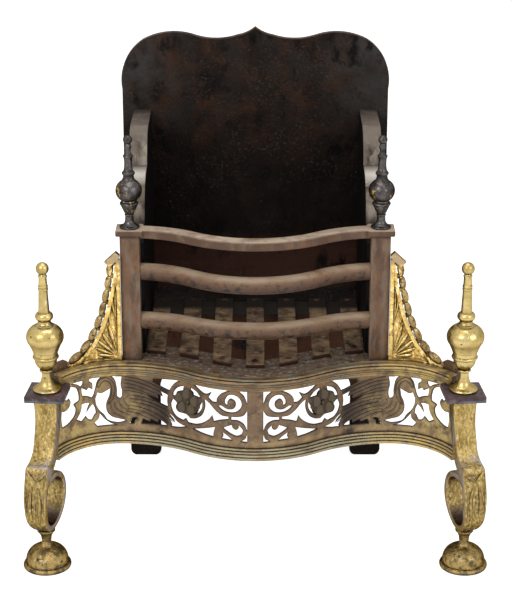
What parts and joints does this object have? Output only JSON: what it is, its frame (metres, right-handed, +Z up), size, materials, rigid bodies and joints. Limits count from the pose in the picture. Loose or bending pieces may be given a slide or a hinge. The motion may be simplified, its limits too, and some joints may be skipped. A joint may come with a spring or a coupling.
{
  "type": "fire grate",
  "caption": "Free-standing iron fire basket with a serpentine pierced brass apron, scroll legs and turned finials, for a wood or coal fire on a hearth.",
  "frame": {"origin": "on the floor, under the middle of the overall width and depth", "axes": "+Z up, +X to the viewer's right, the serpentine front faces -Y and the back plate stands at +Y"},
  "size_m": [0.7552, 0.501, 0.8],
  "materials": {
    "sooty_iron": "matt, black with soot, brown rust showing through",
    "worn_iron": "rubbed grey-brown casting",
    "rusty_iron": "burnt and rusted wrought iron",
    "polished_iron": "turned and once polished, dark with a sheen",
    "bright_brass": "cast and turned brass, worn bright on the high places",
    "leg_brass": "cast brass, pitted and dulled in the hollows",
    "bronzed_brass": "sheet brass browned by heat",
    "reeded_brass": "drawn brass moulding, green in the quirks"
  },
  "bodies": {
    "root": {"back_plate": "sooty_iron", "plate_bolts": "sooty_iron", "cheek_left": "worn_iron", "cheek_right": "worn_iron", "base_plate": "rusty_iron", "post_left": "rusty_iron", "post_right": "rusty_iron", "post_nuts": "rusty_iron", "top_bar": "rusty_iron", "middle_bar": "rusty_iron", "lower_bar": "rusty_iron", "iron_finial_left": "polished_iron", "iron_finial_right": "polished_iron", "rear_bearer": "rusty_iron", "fire_bar_rivets": "rusty_iron", "rail_bracket_left": "sooty_iron", "rail_bracket_right": "sooty_iron", "leg_left": "leg_brass", "leg_right": "leg_brass", "foot_left": "leg_brass", "foot_right": "leg_brass", "leg_cap_left": "worn_iron", "leg_cap_right": "worn_iron", "brass_finial_left": "bright_brass", "brass_finial_right": "bright_brass", "apron_fret": "bronzed_brass", "top_moulding": "reeded_brass", "bottom_moulding": "reeded_brass", "fret_cleats": "bronzed_brass", "wing_left": "bright_brass", "wing_right": "bright_brass", "fire_bar_1": "rusty_iron", "fire_bar_2": "rusty_iron", "fire_bar_3": "rusty_iron", "fire_bar_4": "rusty_iron", "fire_bar_5": "rusty_iron", "fire_bar_6": "rusty_iron", "fire_bar_7": "rusty_iron"}
  },
  "joints": []
}
